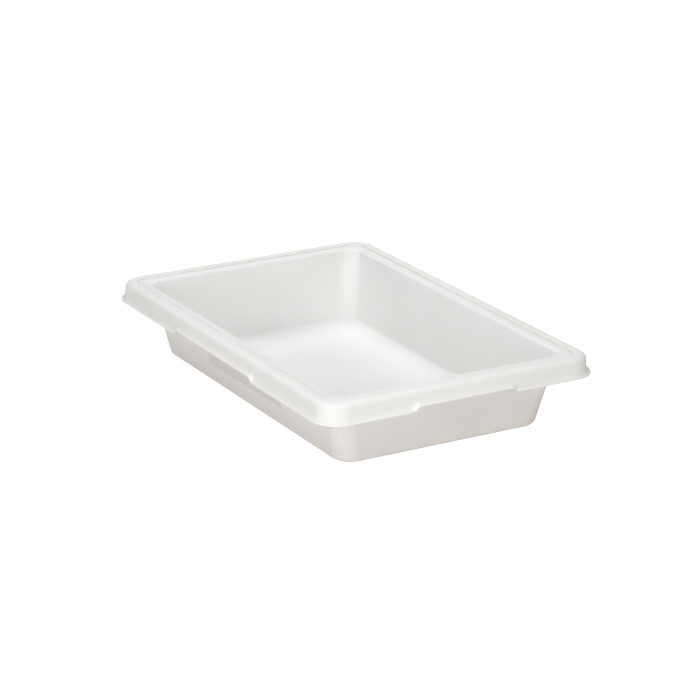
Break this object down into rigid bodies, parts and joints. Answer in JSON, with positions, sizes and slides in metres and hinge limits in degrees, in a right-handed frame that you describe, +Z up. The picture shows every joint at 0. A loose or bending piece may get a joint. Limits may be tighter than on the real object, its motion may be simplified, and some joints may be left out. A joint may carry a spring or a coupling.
{
  "type": "deli food pan",
  "caption": "Shallow open food box with drafted walls, rounded corners and a channel rim, cut away under the middle of each side for the fingers.",
  "frame": {"origin": "middle of the underside of the floor, on the surface the box stands on", "axes": "+Y along the long sides, +X across to the right-hand long side, +Z up towards the open top"},
  "size_m": [0.3048, 0.4572, 0.0762],
  "materials": {
    "polyethylene": "natural white polyethylene, slightly translucent, satin, lightly scuffed"
  },
  "bodies": {
    "root": {"floor_panel": "polyethylene", "left_wall": "polyethylene", "right_wall": "polyethylene", "front_wall": "polyethylene", "back_wall": "polyethylene", "left_rim": "polyethylene", "right_rim": "polyethylene", "front_rim": "polyethylene", "back_rim": "polyethylene"}
  },
  "joints": []
}
